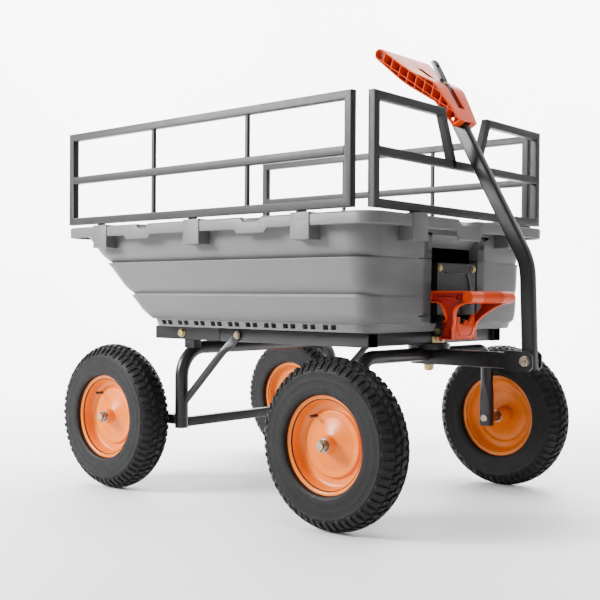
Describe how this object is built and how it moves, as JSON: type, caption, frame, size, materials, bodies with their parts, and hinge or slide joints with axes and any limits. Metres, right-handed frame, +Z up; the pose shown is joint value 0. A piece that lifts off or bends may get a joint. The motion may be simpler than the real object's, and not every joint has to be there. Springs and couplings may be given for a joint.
{
  "type": "garden dump cart",
  "caption": "Garden dump cart: plastic tub with steel fence panels on a steel chassis, flat-free wheels, steered front axle, tipping bed with release handle, and towing pole with a hand grip.",
  "frame": {"origin": "on the ground, under the middle of the cart’s bounding box with the pole parked upright", "axes": "+X towards the towing end, +Y to the cart’s left, +Z up; the cart is mirror symmetric about the XZ plane"},
  "size_m": [1.304, 0.868, 1.1666],
  "materials": {
    "tub_plastic": "grained moulded polyethylene, charcoal grey",
    "fence_paint": "satin grey powder coat",
    "black_paint": "glossy black powder coat",
    "handle_plastic": "satin orange moulded nylon",
    "rim_orange": "gloss orange enamel",
    "zinc_steel": "zinc plated",
    "bearing_steel": "ground steel with a dark seal",
    "tyre_rubber": "matt black tread rubber",
    "valve_rubber": "matt black"
  },
  "bodies": {
    "chassis": {"rail_left": "black_paint", "rail_right": "black_paint", "front_crossmember": "black_paint", "centre_crossmember": "black_paint", "striker_plate": "zinc_steel", "turntable_upper": "black_paint", "kingpin": "zinc_steel", "kingpin_nut": "zinc_steel", "pivot_bolts": "zinc_steel", "rear_axle_tube": "black_paint", "rear_axle_beam": "black_paint", "rear_arms": "black_paint", "rear_spindles": "zinc_steel", "rear_braces": "black_paint", "brace_bolts": "zinc_steel", "rear_axle_nuts": "zinc_steel"},
    "tub_bed": {"tub": "tub_plastic", "channel_left": "black_paint", "channel_right": "black_paint", "bed_straps": "black_paint", "bed_bolts": "zinc_steel", "latch_bracket": "black_paint", "latch_bolts": "zinc_steel", "latch_pin": "zinc_steel", "latch_spring": "zinc_steel"},
    "latch": {"latch_handle": "handle_plastic", "latch_hook": "black_paint"},
    "left_fence": {"fence_left": "fence_paint"},
    "right_fence": {"fence_right": "fence_paint"},
    "front_fence": {"fence_front": "fence_paint"},
    "front_axle": {"front_axle_tube": "black_paint", "front_spindles": "zinc_steel", "front_axle_nuts": "zinc_steel", "turntable_lower": "black_paint", "tongue": "black_paint", "clevis_plates": "black_paint"},
    "pole_pivot": {"pole_bolt": "zinc_steel", "pole_spacers": "zinc_steel"},
    "tow_pole": {"pole": "black_paint", "hitch_plate": "black_paint", "hitch_clip": "zinc_steel", "grip_pin": "zinc_steel"},
    "grip": {"tow_grip": "handle_plastic"},
    "wheel_front_left": {"tyre_front_left": "tyre_rubber", "rim_front_left": "rim_orange", "bearings_front_left": "bearing_steel", "valve_front_left": "valve_rubber"},
    "wheel_front_right": {"tyre_front_right": "tyre_rubber", "rim_front_right": "rim_orange", "bearings_front_right": "bearing_steel", "valve_front_right": "valve_rubber"},
    "wheel_rear_left": {"tyre_rear_left": "tyre_rubber", "rim_rear_left": "rim_orange", "bearings_rear_left": "bearing_steel", "valve_rear_left": "valve_rubber"},
    "wheel_rear_right": {"tyre_rear_right": "tyre_rubber", "rim_rear_right": "rim_orange", "bearings_rear_right": "bearing_steel", "valve_rear_right": "valve_rubber"}
  },
  "joints": [
    {"name": "steer", "type": "hinge", "parent": "chassis", "child": "front_axle", "pos_m": [0.343, 0, 0.391], "axis": [0, 0, 1], "range_deg": [-18, 18]},
    {"name": "front_left_roll", "type": "hinge", "parent": "front_axle", "child": "wheel_front_left", "pos_m": [0.342, 0.382, 0.2], "axis": [0, 1, 0], "continuous": true},
    {"name": "front_right_roll", "type": "hinge", "parent": "front_axle", "child": "wheel_front_right", "pos_m": [0.342, -0.382, 0.2], "axis": [0, 1, 0], "continuous": true},
    {"name": "rear_left_roll", "type": "hinge", "parent": "chassis", "child": "wheel_rear_left", "pos_m": [-0.452, 0.382, 0.2], "axis": [0, 1, 0], "continuous": true},
    {"name": "rear_right_roll", "type": "hinge", "parent": "chassis", "child": "wheel_rear_right", "pos_m": [-0.452, -0.382, 0.2], "axis": [0, 1, 0], "continuous": true},
    {"name": "tub_dump", "type": "hinge", "parent": "chassis", "child": "tub_bed", "pos_m": [-0.264, 0, 0.4345], "axis": [0, -1, 0], "range_deg": [0, 45]},
    {"name": "latch_release", "type": "hinge", "parent": "tub_bed", "child": "latch", "pos_m": [0.415, 0, 0.452], "axis": [0, -1, 0], "range_deg": [0, 9], "stiffness_Nm_per_rad": 4, "springref_deg": -34.38},
    {"name": "left_fence_lift", "type": "slide", "parent": "tub_bed", "child": "left_fence", "axis": [0, 0, 1], "range_m": [0, 0.09]},
    {"name": "right_fence_lift", "type": "slide", "parent": "tub_bed", "child": "right_fence", "axis": [0, 0, 1], "range_m": [0, 0.09]},
    {"name": "front_fence_lift", "type": "slide", "parent": "tub_bed", "child": "front_fence", "axis": [0, 0, 1], "range_m": [0, 0.02]},
    {"name": "pole_push", "type": "hinge", "parent": "front_axle", "child": "pole_pivot", "pos_m": [0.633, 0, 0.386], "axis": [0, 1, 0], "range_deg": [0, 30]},
    {"name": "pole_swing", "type": "hinge", "parent": "pole_pivot", "child": "tow_pole", "pos_m": [0.633, 0, 0.386], "axis": [0, 1, 0], "range_deg": [0, 100]},
    {"name": "grip_fold", "type": "hinge", "parent": "tow_pole", "child": "grip", "pos_m": [0.43301, 0, 0.97934], "axis": [0, 1, 0], "range_deg": [0, 16]}
  ],
  "couplings": [
    {"joint": "pole_push", "follows": "tub_dump", "ratio": 0.6}
  ]
}
